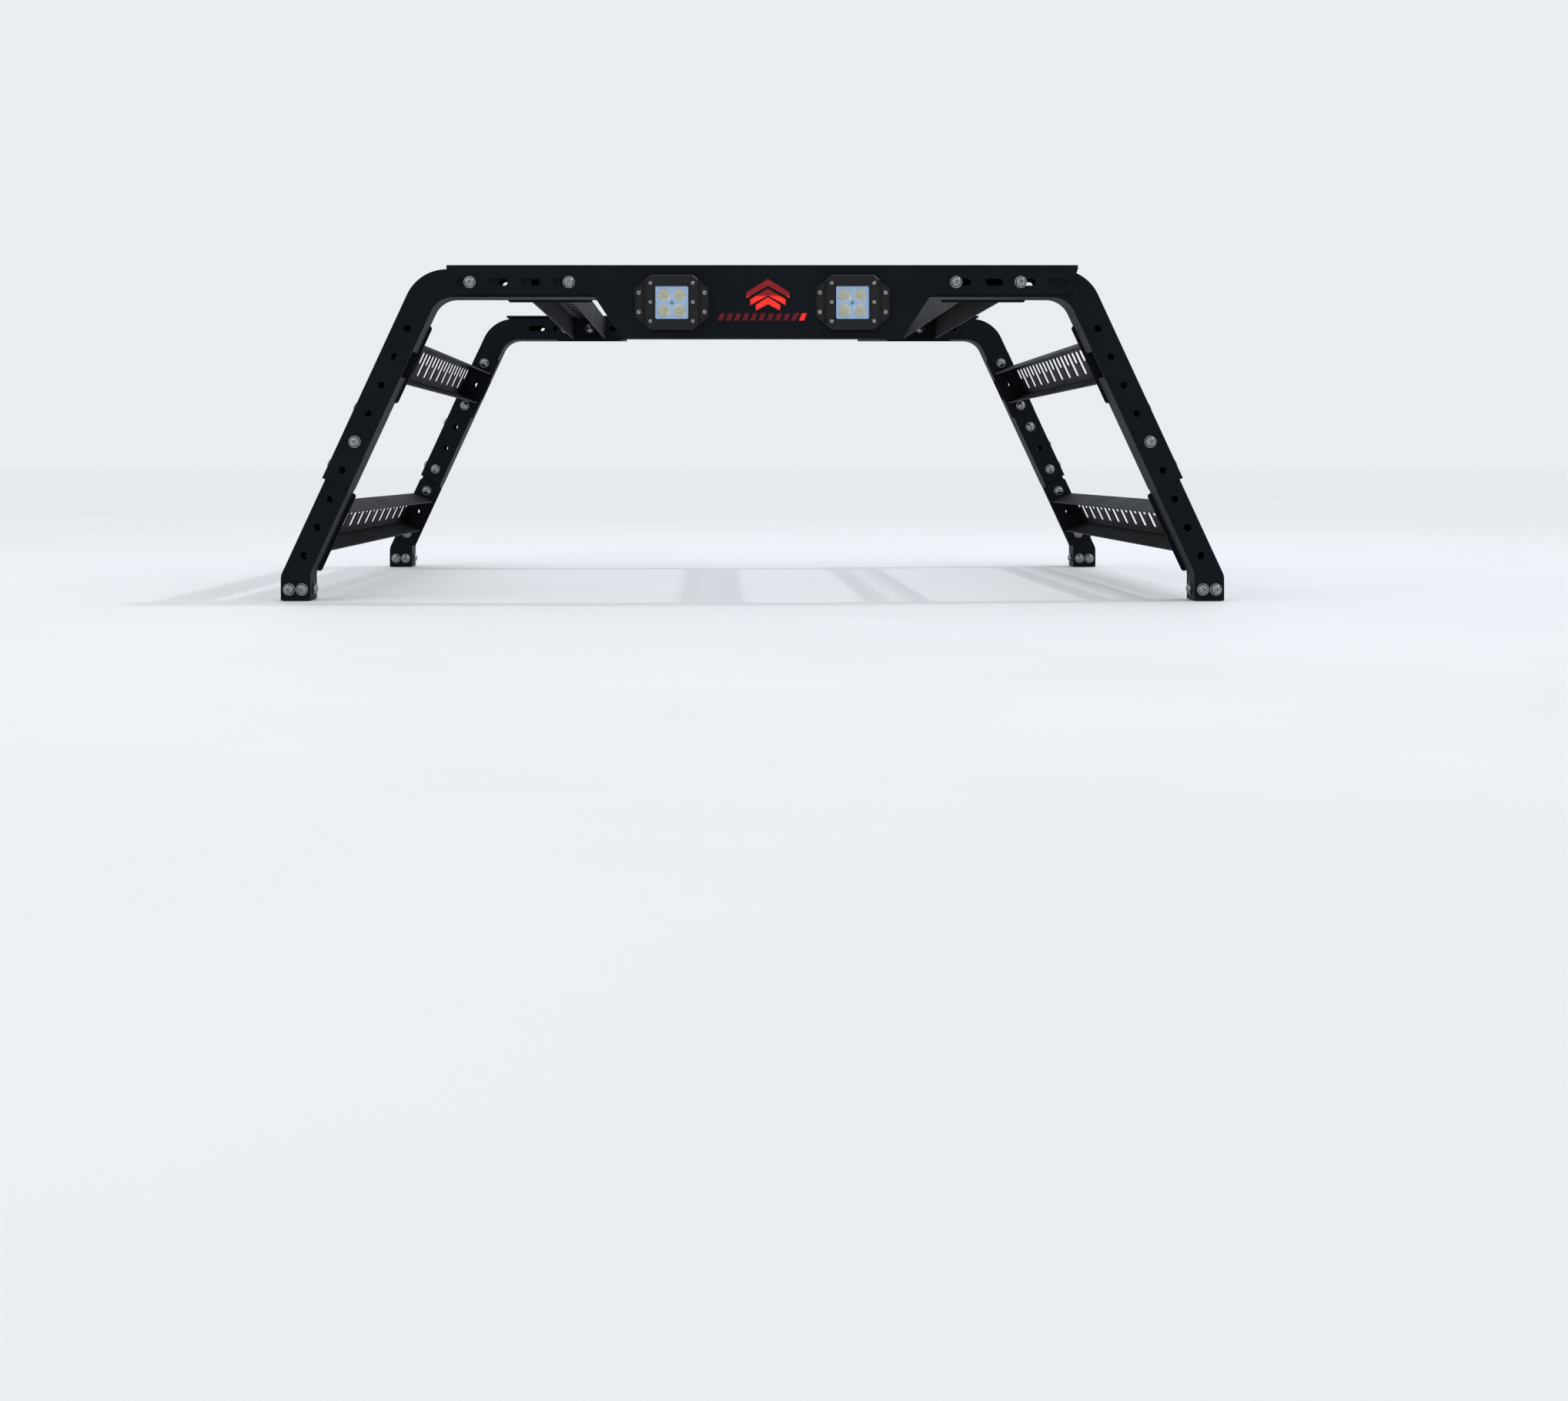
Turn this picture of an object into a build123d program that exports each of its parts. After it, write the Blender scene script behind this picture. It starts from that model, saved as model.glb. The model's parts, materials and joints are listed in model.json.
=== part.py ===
from build123d import *
import math
import os

os.makedirs("parts", exist_ok=True)

# Bed-mounted headache rack, millimetres. +X is the truck's right side, +Y is
# forward (towards the cab) and +Z is up. Z = 0 is the bed rail's top face.

# ---- driving dimensions ------------------------------------------------
FOOT_HALF_W = 810.0        # centre line to the outer face of a foot
FOOT_W = 51.0              # width of a foot's upright face
HALF_L = 720.5             # middle of the rack to the outer face of a hoop
HOOP_D = 76.0              # hoop box, front to back
HOOP_W = 49.6              # hoop leg, across its face
HOOP_T = 4.0               # hoop plate
ARM_TOP = 569.4            # top of a hoop's arm
ARM_H = 48.0
ARM_IN = 268.0             # inner end of an arm
LEAN = 24.8                # legs lean in by this many degrees
SLEEVE_X, SLEEVE_Z = 738.3, 211.2   # outer bottom corner of a sleeve
R_OUT, R_IN = 75.0, 42.0   # corner radii of a hoop
LEG_GAP_OUT = 5.2          # sleeve's outer face to the inner leg's outer face
LEG_W = 44.4               # inner leg, across its face
LEG_D = 67.0               # inner leg, front to back
LEG_T = 3.0
LEG_TOP_Z = 394.0          # top of the inner leg on its centre line
FOOT_Z0 = 1.0              # a leg stops this far above its bracket's base
HOLE_Z0, HOLE_DZ = 78.0, 48.6       # index holes, heights on the centre line
HOLE_R = 6.25
XB_T = 4.0                 # crossbar plate
XB_TOP = 576.5
XB_LOW = 526.3             # bottom edge of a crossbar's narrow part
XB_HALF_TOP, XB_HALF_LOW = 541.2, 526.7
PANEL_LOW = 450.8          # bottom edge of the light panel
PANEL_HALF_LOW, PANEL_HALF_TOP = 240.0, 290.4
XB_REAR_X = 16.5           # the rear crossbar is bolted this far off centre
XB_SLOTS = (341.4, 396.8, 452.2, 508.0)
ARM_SLOTS = (305.9, 361.4, 416.9, 472.4)
SLOT_Z = 547.0
RAIL_W = 75.0              # rail channel, across its web
RAIL_D = 48.6              # rail flanges
RAIL_T = 2.5
TAB_L, TAB_W, TAB_T = 148.0, 54.0, 3.0
TAB_PITCH = 54.5
WINDOW_PITCH = 50.75       # rail windows, tall and short in turn
WINDOW_W, WINDOW_TALL, WINDOW_SHORT = 38.0, 47.0, 22.0
WINDOW_COUNT = 25
POD_X, POD_Z = 154.9, 511.9
BOLT_R, HEAD_R, HEAD_H = 5.0, 8.75, 5.5     # M10 button head
WASHER_R, WASHER_T = 10.3, 1.8
NUT_AF, NUT_T = 17.0, 8.0
TAB_HOLE_IN = 24.8         # tab slots, from the web's outer face
RAIL_HOLE_PITCH = 24.0     # pair of holes in each foot's base plate
RAIL_HOLE_R = 5.5
REAR_LEFT_BOLTS = (-484.8, -314.7)
REAR_RIGHT_BOLTS = (348.9, 459.5)
FRONT_LEFT_BOLTS = (-406.0, -350.5)
FRONT_RIGHT_BOLTS = (350.5, 406.0)
BOXED_BOLT = -314.7        # its nut is inside the arm, clear of the rail
TOP_RAIL_LEFT_X, TOP_RAIL_RIGHT_X = -352.0, 404.0
TOP_RAIL_Z = 571.8

S, C = math.sin(math.radians(LEAN)), math.cos(math.radians(LEAN))
TAN = S / C
YR = -HALF_L               # outer face of the rear hoop
LEG_Y = (HOOP_D - LEG_D) / 2


# ---- helpers -------------------------------------------------------------
def outline(pts, radii=()):
    """A closed face in the XY plane; radii lists (corner, radius) pairs."""
    face = make_face(Polyline(*pts, close=True))
    for corner, radius in radii:
        near = min(face.vertices(),
                   key=lambda v: math.hypot(v.X - corner[0], v.Y - corner[1]))
        face = fillet(near, radius)
    return face


def plate(face, y0, y1):
    """A face drawn in X and Z, standing up between y0 and y1."""
    return Rot(90, 0, 0) * Pos(0, 0, -y1) * extrude(face, amount=y1 - y0)


def slot_face(x, z, length, height):
    return Pos(x, z) * SlotOverall(length, height)


def along(k):
    """Index hole k: its height on a leg's centre line."""
    return HOLE_Z0 + HOLE_DZ * k


def outer_x(z, inset=0.0):
    """X of the line parallel to a right leg's outer face, inset from it."""
    return SLEEVE_X + TAN * (SLEEVE_Z - z) - inset / C


def leg_point(k, inset):
    """Point at index hole k, inset from the outer face (0 is the face)."""
    z = along(k)
    x = outer_x(z, LEG_GAP_OUT + LEG_W / 2)
    move = LEG_GAP_OUT + LEG_W / 2 - inset
    return x + C * move, z + S * move


def drop(x, z, d):
    """Move d down a right leg."""
    return x + S * d, z - C * d


def left_of(part):
    return mirror(part, about=Plane.YZ)


def front_of(part):
    return mirror(part, about=Plane.XZ)


def group(parts):
    solids = []
    for p in parts:
        solids.extend(p.solids())
    return Compound(children=solids)


def turned(part, at, direction):
    """Put a fastener made along +Z at a point, its tip along direction."""
    return Plane(origin=at, z_dir=direction).location * part


def bolt(length, r=BOLT_R, head_r=HEAD_R, head_h=HEAD_H, af=6.0):
    """Button head on the -Z side of the origin, shank along +Z."""
    top = head_r * 0.42
    mid = ((head_r + top) / 2 + head_r * 0.13, -(0.9 + (head_h - 0.9) * 0.62))
    edge = Polyline((0, length), (r - 0.8, length), (r, length - 0.8), (r, 0), (head_r, 0), (head_r, -0.9))
    dome = ThreePointArc((head_r, -0.9), mid, (top, -head_h))
    cap = Polyline((top, -head_h), (0, -head_h), (0, length))
    profile = make_face(edge + dome + cap)
    body = revolve(Rot(90, 0, 0) * profile, Axis.Z)
    socket = Pos(0, 0, -head_h - 0.1) * extrude(RegularPolygon(af / 2, 6, major_radius=False), amount=head_h * 0.58)
    return body - socket


def washer(r=WASHER_R, hole=5.3, t=WASHER_T):
    """Sits on the -Z side of the origin, against a face."""
    return Pos(0, 0, -t) * extrude(Circle(r) - Circle(hole), amount=t)


def nut(af=NUT_AF, t=NUT_T, hole=BOLT_R + 0.05):
    """Stands on the +Z side of the origin."""
    body = extrude(RegularPolygon(af / 2, 6, major_radius=False), amount=t)
    body = body & revolve(
        Rot(90, 0, 0) * make_face(Polyline((0, 0), (af * 0.5, 0), (af * 0.585, 1.2), (af * 0.585, t - 1.2), (af * 0.5, t), (0, t), close=True)),
        Axis.Z)
    return body - extrude(Circle(hole), amount=t)


# ---- hoop corners (a box whose leg is a sleeve, open inboard) ------------
def hoop_outline(inset, radius_out, radius_in, inner_wall, extra):
    """Outline of the box's side, shrunk by inset on the outer and top edges."""
    top = ARM_TOP - inset
    low = ARM_TOP - ARM_H + inner_wall
    corner = (outer_x(top, inset), top)
    tip_out = (outer_x(SLEEVE_Z, 0) - C * inset, SLEEVE_Z - S * inset)
    tip_in = (SLEEVE_X - C * (HOOP_W - inner_wall), SLEEVE_Z - S * (HOOP_W - inner_wall))
    tip_out = drop(*tip_out, extra)
    tip_in = drop(*tip_in, extra)
    inner = (tip_in[0] - TAN * (low - tip_in[1]), low)
    x_in = ARM_IN - (10 if extra else 0)
    pts = [(x_in, low), (x_in, top), corner, tip_out, tip_in, inner]
    return outline(pts, [(corner, radius_out), (inner, radius_in)])


def hoop():
    body = plate(hoop_outline(0, R_OUT, R_IN, 0, 0), YR, YR + HOOP_D)
    hollow = plate(hoop_outline(HOOP_T, R_OUT - HOOP_T, R_IN + HOOP_T, HOOP_T, 10), YR + HOOP_T, YR + HOOP_D - HOOP_T)
    body -= hollow
    # the sleeve's mouth on its inboard side
    a = (SLEEVE_X - C * (HOOP_W - HOOP_T - 1), SLEEVE_Z - S * (HOOP_W - HOOP_T - 1))
    b = (SLEEVE_X - C * (HOOP_W + 12), SLEEVE_Z - S * (HOOP_W + 12))
    mouth = [drop(*a, 12), drop(*b, 12), drop(*b, -262), drop(*a, -262)]
    body -= plate(outline(mouth), YR + HOOP_T, YR + HOOP_D - HOOP_T)
    # index holes, through both faces, and through the outer side
    for k in range(3, 9):
        x, z = leg_point(k, HOOP_W / 2)
        body -= plate(Pos(x, z) * Circle(HOLE_R), YR - 1, YR + HOOP_D + 1)
        x, z = leg_point(k, -1)
        hole = extrude(Circle(HOLE_R), amount=HOOP_T + 3)
        body -= turned(hole, (x, YR + HOOP_D / 2, z), (-C, 0, -S))
    for x in ARM_SLOTS:
        body -= plate(slot_face(x, SLOT_Z, 36, 11), YR - 1, YR + HOOP_D + 1)
    return body


# ---- inner legs with their upright feet -------------------------------------
def leg_outline(inset, extra):
    z0 = FOOT_Z0 - extra
    out, inn = FOOT_HALF_W - inset, FOOT_HALF_W - FOOT_W + inset
    line_out = LEG_GAP_OUT + inset
    line_in = LEG_GAP_OUT + LEG_W - inset
    bend_out = (out, SLEEVE_Z - (out - outer_x(SLEEVE_Z, line_out)) / TAN)
    bend_in = (inn, SLEEVE_Z - (inn - outer_x(SLEEVE_Z, line_in)) / TAN)
    cx, cz = outer_x(LEG_TOP_Z, LEG_GAP_OUT + LEG_W / 2), LEG_TOP_Z
    half = LEG_W / 2 - inset
    up = extra
    t_out = drop(cx + C * half, cz + S * half, -up)
    t_in = drop(cx - C * half, cz - S * half, -up)
    pts = [(inn, z0), (out, z0), bend_out, t_out, t_in, bend_in]
    return outline(pts, [(bend_out, 28 - inset), (bend_in, 22 + inset)])


def leg():
    y0, y1 = YR + LEG_Y, YR + LEG_Y + LEG_D
    body = plate(leg_outline(0, 0), y0, y1)
    body -= plate(leg_outline(LEG_T, 8), y0 + LEG_T, y1 - LEG_T)
    for k in range(0, 7):
        x, z = leg_point(k, LEG_GAP_OUT + LEG_W / 2)
        body -= plate(Pos(x, z) * Circle(HOLE_R), y0 - 1, y1 + 1)
        if k > 0:
            x, z = leg_point(k, LEG_GAP_OUT - 1)
            body -= turned(extrude(Circle(HOLE_R), amount=LEG_T + 2), (x, (y0 + y1) / 2, z), (-C, 0, -S))
    for dx in (-11, 11):
        body -= plate(Pos(FOOT_HALF_W - FOOT_W / 2 + dx, FOOT_BOLT_Z) * Circle(5.5), y0 - 1, y1 + 1)
    body -= turned(extrude(Circle(5.5), amount=6), (FOOT_HALF_W - FOOT_W - 1, (y0 + y1) / 2, FOOT_BOLT_Z), (1, 0, 0))
    return body


FOOT_BOLT_Z = 20.0
FOOT_X = FOOT_HALF_W - FOOT_W / 2
FOOT_Y = YR + HOOP_D / 2


def foot_bracket():
    """Saddle inside the foot: a base plate with three upright ears."""
    hx, hy = FOOT_W / 2 - LEG_T - 0.3, LEG_D / 2 - LEG_T - 0.3
    z0 = 0.0
    body = Pos(FOOT_X, FOOT_Y, z0 + 2.5) * Box(2 * hx, 2 * hy, 5)
    for s in (-1, 1):
        body += Pos(FOOT_X, FOOT_Y + s * (hy - 2), z0 + 18) * Box(2 * hx, 4, 36)
    body += Pos(FOOT_X - hx + 2, FOOT_Y, z0 + 18) * Box(4, 26, 36)
    for s in (-1, 1):
        for dx in (-11, 11):
            body -= turned(extrude(Circle(5.3), amount=8), (FOOT_X + dx, FOOT_Y + s * (hy + 1), FOOT_BOLT_Z), (0, -s, 0))
        body -= Pos(FOOT_X, FOOT_Y + s * RAIL_HOLE_PITCH / 2, z0 + 2.5) * Cylinder(RAIL_HOLE_R, 8)
    body -= turned(extrude(Circle(5.3), amount=8), (FOOT_X - hx - 1, FOOT_Y, FOOT_BOLT_Z), (1, 0, 0))
    return body


def foot_fasteners():
    """Bolts, washers and nuts of one foot: two on each face, one inboard."""
    bolts, washers, nuts = [], [], []
    for s in (-1, 1):
        face_y = FOOT_Y + s * LEG_D / 2
        inner_y = FOOT_Y + s * (LEG_D / 2 - LEG_T - 0.3 - 4)
        for dx in (-11, 11):
            at = (FOOT_X + dx, face_y, FOOT_BOLT_Z)
            washers.append(turned(washer(), at, (0, -s, 0)))
            bolts.append(turned(bolt(20), (at[0], face_y + s * WASHER_T, at[2]), (0, -s, 0)))
            nuts.append(turned(nut(), (at[0], inner_y, at[2]), (0, -s, 0)))
    at = (FOOT_HALF_W - FOOT_W, FOOT_Y, FOOT_BOLT_Z)
    washers.append(turned(washer(), at, (1, 0, 0)))
    bolts.append(turned(bolt(20), (at[0] - WASHER_T, at[1], at[2]), (1, 0, 0)))
    nuts.append(turned(nut(), (at[0] + LEG_T + 0.3 + 4, at[1], at[2]), (1, 0, 0)))
    return bolts, washers, nuts


# ---- rails: channels with a windowed web and a tab at each end ---------------
def rail(half_len):
    """Runs along Y. The web's outside is the plane x = 0, flanges to -X.
    z runs across the web. Ends at +-half_len, tabs included."""
    t = RAIL_T
    w, d = RAIL_W / 2, RAIL_D
    outer = outline([(0, -w), (0, w), (-d, w), (-d, w - t), (-t, w - t), (-t, -w + t), (-d, -w + t), (-d, -w)],
                    [((0, -w), 4.0), ((0, w), 4.0), ((-t, w - t), 1.5), ((-t, -w + t), 1.5)])
    body = plate(outer, -half_len + TAB_T, half_len - TAB_T)
    tab = outline([(0, -TAB_L / 2), (0, TAB_L / 2), (-TAB_W, TAB_L / 2), (-TAB_W, -TAB_L / 2)])
    tab = fillet(tab.vertices(), 5)
    for i in (-1, 0, 1):
        tab -= Pos(-TAB_HOLE_IN, i * TAB_PITCH) * Rot(0, 0, 90) * SlotOverall(16, 11)
    body += plate(tab, -half_len, -half_len + TAB_T)
    body += plate(tab, half_len - TAB_T, half_len)
    top = WINDOW_TALL / 2
    tall, short = [], []
    for i in range(WINDOW_COUNT):
        y = (i - (WINDOW_COUNT - 1) / 2) * WINDOW_PITCH
        h = WINDOW_TALL if i % 2 else WINDOW_SHORT
        (tall if i % 2 else short).append((y, top - h / 2, h))
    for wins in (tall, short):
        face = Sketch()
        for y, z, h in wins:
            face += Pos(y, z) * RectangleRounded(WINDOW_W, h, 5)
        # drawn in YZ, cut through the web along X
        body -= Plane(origin=(-t - 1, 0, 0), x_dir=(0, 1, 0), z_dir=(1, 0, 0)).location * extrude(face, amount=t + 2)
    return body


def side_rail(k, inset, half_len):
    """A rail on the right legs, centred at index hole k, web outboard."""
    x, z = leg_point(k, inset)
    return Pos(x, 0, z) * Rot(0, -LEAN, 0) * rail(half_len)


def top_rail(x):
    """A rail under the crossbars' flanges, web up, flanges down."""
    return Pos(x, 0, TOP_RAIL_Z) * Rot(0, -90, 0) * rail(HALF_L - HOOP_D)


def rail_fasteners(k0, k1, inset, face_y, wall, nuts_in):
    """Bolts through a right rail's rear tab, with nuts inside the leg or,
    with nuts_in False, short ones that end inside the sleeve's plate."""
    bolts, washers, nuts = [], [], []
    for k in (k0, k1):
        x, z = leg_point(k, inset)
        length = 20 if nuts_in else WASHER_T + TAB_T + wall + 0.2
        washers.append(turned(washer(), (x, face_y + TAB_T, z), (0, -1, 0)))
        bolts.append(turned(bolt(length), (x, face_y + TAB_T + WASHER_T, z), (0, -1, 0)))
        if nuts_in:
            nuts.append(turned(nut(), (x, face_y - wall, z), (0, -1, 0)))
    return bolts, washers, nuts


# ---- crossbars ----------------------------------------------------------------
def crossbar_face(panel):
    h, l = XB_HALF_TOP, XB_HALF_LOW
    pts = [(-h, XB_TOP), (h, XB_TOP), (h, XB_TOP - 6.5), (l, XB_LOW)]
    rad = [((l, XB_LOW), 5), ((-l, XB_LOW), 5)]
    if panel:
        pts += [(PANEL_HALF_TOP, XB_LOW), (PANEL_HALF_LOW, PANEL_LOW), (-PANEL_HALF_LOW, PANEL_LOW), (-PANEL_HALF_TOP, XB_LOW)]
        rad += [((s * PANEL_HALF_TOP, XB_LOW), 7) for s in (-1, 1)]
        rad += [((s * PANEL_HALF_LOW, PANEL_LOW), 10) for s in (-1, 1)]
    pts += [(-l, XB_LOW), (-h, XB_TOP - 6.5)]
    face = outline(pts, rad)
    for x in XB_SLOTS:
        for s in (-1, 1):
            face -= slot_face(s * x, SLOT_Z, 32, 12.5)
    return face


def emblem_cuts():
    """Plain geometric cut-outs: three nested chevrons over a row of bars."""
    cuts = Sketch()
    for w, top in ((37.0, 553.0), (30.5, 536.5), (21.0, 521.5)):
        low, t = top - w * 0.62, 10.5
        cuts += outline([(EMBLEM_X - w, low), (EMBLEM_X, top), (EMBLEM_X + w, low),
                         (EMBLEM_X + w, low - t), (EMBLEM_X, top - t * 1.18), (EMBLEM_X - w, low - t)])
    for i in range(-5, 6):
        x = i * 14.0
        cuts += outline([(x - 7.0, 481.0), (x + 1.8, 481.0), (x + 7.0, 494.0), (x - 1.8, 494.0)])
    return cuts


EMBLEM_X = 10.0
STUD_X, STUD_Z = 82.3, (474.0, 545.0)


def crossbar(panel, xc):
    """The rear crossbar, or with panel=False a plain one in the same place."""
    y0, y1 = YR - XB_T, YR
    face = crossbar_face(panel)
    if panel:
        for s in (-1, 1):
            face -= Pos(s * POD_X, POD_Z) * RectangleRounded(79, 79, 4)
            for dx in (-56.1, 56.1):
                for dz in (-16.7, 16.7):
                    face -= Pos(s * POD_X + dx, POD_Z + dz) * Circle(2.8)
        face -= emblem_cuts()
    body = plate(face, y0, y1)
    flange = Pos(0, (y0 + YR + HOOP_D) / 2, XB_TOP - XB_T / 2) * Box(2 * XB_HALF_TOP, YR + HOOP_D - y0, XB_T)
    body += flange
    body = fillet(body.edges().filter_by(Axis.X).filter_by(lambda e: abs(e.center().Y - y0) < 0.01 and abs(e.center().Z - XB_TOP) < 0.01), 3.0)
    if panel:
        # weld studs for the emblem's insert
        for x in (-STUD_X, STUD_X):
            for z in STUD_Z:
                body += turned(Pos(0, 0, 4.5) * Cylinder(1.97, 9.2), (x, y1, z), (0, 1, 0))
    return Pos(xc, 0, 0) * body


# ---- light pods -------------------------------------------------------------
Y_WEB = YR - XB_T         # outer face of the rear crossbar's web


def octagon(w, h, cx, cz):
    a, b = w / 2, h / 2
    return outline([(-a + cx, -b), (a - cx, -b), (a, -b + cz), (a, b - cz), (a - cx, b), (-a + cx, b), (-a, b - cz), (-a, -b + cz)])


EARS = [(dx, dz) for dx in (-56.1, 56.1) for dz in (-16.7, 16.7)]
FACE_SCREWS = [(dx, dz) for dx in (-36.2, 36.2) for dz in (-32.5, 0.0, 32.5)]


def pod(xc):
    at = Pos(xc, 0, POD_Z)
    y = Y_WEB
    gask = octagon(127, 93.6, 27, 22.4) - RectangleRounded(79, 79, 4)
    for dx, dz in EARS:
        gask -= Pos(dx, dz) * Circle(2.8)
    gasket = plate(gask, y - 1.5, y)
    low = octagon(127, 93.6, 27, 22.4) - RectangleRounded(60.6, 60.6, 5)
    for dx, dz in EARS:
        low -= Pos(dx, dz) * Circle(2.8)
    bezel = plate(low, y - 5.5, y - 1.5)
    high = octagon(90, 93.6, 9, 8) - RectangleRounded(60.6, 60.6, 5)
    raised = plate(high, y - 12.5, y - 5.5)
    rim = [e for e in raised.edges() if abs(e.center().Y - (y - 12.5)) < 0.01 and max(abs(e.center().X), abs(e.center().Z)) > 35]
    raised = chamfer(rim, 1.6)
    bezel += raised
    for dx, dz in FACE_SCREWS:
        bezel -= plate(Pos(dx, dz) * Circle(2.1), y - 13, y - 1)
    # housing: a tub behind the bezel with cooling fins on its back
    tub = plate(RectangleRounded(78, 78, 4), y - 1.5, y + 52)
    tub -= plate(RectangleRounded(61, 61, 4), y - 2, y + 22)
    for i in range(-4, 5):
        tub -= Pos(i * 8.4, y + 42, 0) * Box(4.4, 24, 90)
    for dx, dz in FACE_SCREWS:
        tub -= plate(Pos(dx, dz) * Circle(2.1), y - 2, y + 12)
    tub -= turned(extrude(Circle(6.1), amount=9), (0, y + 53, -0.0), (0, -1, 0))
    tub += turned(extrude(Circle(9) - Circle(6.1), amount=18), (0, y + 52, 0), (0, -1, 0))
    # reflector: a block with four cups
    block = plate(RectangleRounded(60, 60, 4), y + 2, y + 20)
    for dx in (-13.4, 13.4):
        for dz in (-13.4, 13.4):
            cup = revolve(Rot(90, 0, 0) * make_face(Polyline((0, -1), (11.3, -1), (11.0, 1.0), (9.6, 7.0), (7.2, 12.0), (4.4, 15.0), (0, 15.0), close=True)), Axis.Z)
            block -= turned(cup, (dx, y + 2, dz), (0, 1, 0))
    leds = []
    for dx in (-13.4, 13.4):
        for dz in (-13.4, 13.4):
            chip = Pos(0, 0, -0.6) * Box(5, 5, 1.2)
            dome = (Pos(0, 0, -1.2) * Sphere(2.6)) & (Pos(0, 0, -3.2) * Box(8, 8, 4))
            leds.append(turned(chip + dome, (dx, y + 17, dz), (0, 1, 0)))
    lens = plate(RectangleRounded(60.0, 60.0, 4.6), y - 8.5, y - 5.5)
    seal = plate(RectangleRounded(60.0, 60.0, 4.6) - RectangleRounded(56.4, 56.4, 3), y - 5.5, y + 2)
    screws = [turned(bolt(9, 2.0, 3.3, 1.9, 2.2), (dx, y - 12.5, dz), (0, 1, 0)) for dx, dz in FACE_SCREWS]
    ears = [turned(bolt(16, 2.5, 4.3, 2.6, 3.0), (dx, y - 5.5, dz), (0, 1, 0)) for dx, dz in EARS]
    nuts = [turned(nut(8, 4, 2.55), (dx, y + XB_T, dz), (0, 1, 0)) for dx, dz in EARS]
    gland = turned(extrude(Circle(6.0), amount=13) + Pos(0, 0, 4) * extrude(RegularPolygon(8.2, 6), amount=5) - extrude(Circle(2.2), amount=13),
                   (0, y + 48, 0), (0, 1, 0))
    return {key: at * val for key, val in dict(gasket=gasket, bezel=bezel, housing=tub, reflector=block, lens=lens, seal=seal).items()}, \
        [at * s for s in screws], [at * s for s in ears], [at * s for s in nuts], [at * s for s in leds], at * gland


# ---- build every node -------------------------------------------------------
parts = {}
h = hoop()
parts["rear_hoop_right"] = h
parts["rear_hoop_left"] = left_of(h)
parts["front_hoop_right"] = front_of(h)
parts["front_hoop_left"] = left_of(front_of(h))
g = leg()
parts["rear_leg_right"] = g
parts["rear_leg_left"] = left_of(g)
parts["front_leg_right"] = front_of(g)
parts["front_leg_left"] = left_of(front_of(g))
b = foot_bracket()
parts["rear_foot_bracket_right"] = b
parts["rear_foot_bracket_left"] = left_of(b)
parts["front_foot_bracket_right"] = front_of(b)
parts["front_foot_bracket_left"] = left_of(front_of(b))

upper = side_rail(7, 0.0, HALF_L - HOOP_D)
parts["upper_rail_right"] = upper
parts["upper_rail_left"] = left_of(upper)
lower = side_rail(1, LEG_GAP_OUT + LEG_W / 2 - TAB_HOLE_IN, HALF_L - HOOP_D + LEG_Y)
parts["lower_rail_right"] = lower
parts["lower_rail_left"] = left_of(lower)
parts["top_rail_right"] = top_rail(TOP_RAIL_RIGHT_X)
parts["top_rail_left"] = top_rail(TOP_RAIL_LEFT_X)

mid = LEG_GAP_OUT + LEG_W / 2
ub, uw, un = rail_fasteners(8, 6, HOOP_W / 2, YR + HOOP_D, HOOP_T, False)
lb, lw, ln = rail_fasteners(2, 0, mid, YR + LEG_Y + LEG_D, LEG_T, True)
# the rear end of the left top rail: two short bolts with nuts in the arm
tb, tw, tn = [], [], []
for dx in (-TAB_PITCH, 0.0):
    at = (TOP_RAIL_LEFT_X + dx, YR + HOOP_D + TAB_T, SLOT_Z)
    tw.append(turned(washer(), at, (0, -1, 0)))
    tb.append(turned(bolt(20), (at[0], at[1] + WASHER_T, at[2]), (0, -1, 0)))
    tn.append(turned(nut(), (at[0], YR + HOOP_D - HOOP_T, at[2]), (0, -1, 0)))
for name, items, more in (("rail_tab_bolts", ub, tb), ("rail_tab_washers", uw, tw)):
    both = group(items + [front_of(i) for i in items])
    parts[name] = group([both, left_of(both)] + more)
parts["rail_tab_nuts"] = group(tn)
for name, items in (("lower_rail_bolts", lb), ("lower_rail_washers", lw), ("lower_rail_nuts", ln)):
    both = group(items + [front_of(i) for i in items])
    parts[name + "_right"] = both
    parts[name + "_left"] = left_of(both)
fb, fw, fn = foot_fasteners()
for name, items in (("foot_bolts", fb), ("foot_washers", fw), ("foot_nuts", fn)):
    both = group(items + [front_of(i) for i in items])
    parts[name + "_right"] = both
    parts[name + "_left"] = left_of(both)

# index bolts: short clamp bolts through the sleeve's wall, clear of the leg
faces = {"rear_left": (4,), "rear_right": (4,), "front_left": (3,), "front_right": (3, 5)}
sides = {"rear_left": (3, 5), "rear_right": (3, 5), "front_left": (3, 5), "front_right": (3, 4)}
ib, iw = [], []
for key in faces:
    made_b, made_w = [], []
    # the face seen from behind the truck: a hoop's outer face at the rear and
    # its inner face at the front
    for k in faces[key]:
        x, z = leg_point(k, HOOP_W / 2)
        if key.startswith("rear"):
            at, d = (x, YR, z), (0, 1, 0)
            seat = (x, YR - WASHER_T, z)
        else:
            at, d = (x, YR + HOOP_D, z), (0, -1, 0)
            seat = (x, YR + HOOP_D + WASHER_T, z)
        made_w.append(turned(washer(), at, d))
        made_b.append(turned(bolt(WASHER_T + 4.2), seat, d))
    for k in sides[key]:
        x, z = leg_point(k, 0)
        made_w.append(turned(washer(), (x, YR + HOOP_D / 2, z), (-C, 0, -S)))
        x, z = leg_point(k, -WASHER_T)
        made_b.append(turned(bolt(WASHER_T + 4.8), (x, YR + HOOP_D / 2, z), (-C, 0, -S)))
    for made, out in ((made_b, ib), (made_w, iw)):
        for m in made:
            m = front_of(m) if key.startswith("front") else m
            m = left_of(m) if key.endswith("left") else m
            out.append(m)
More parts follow.
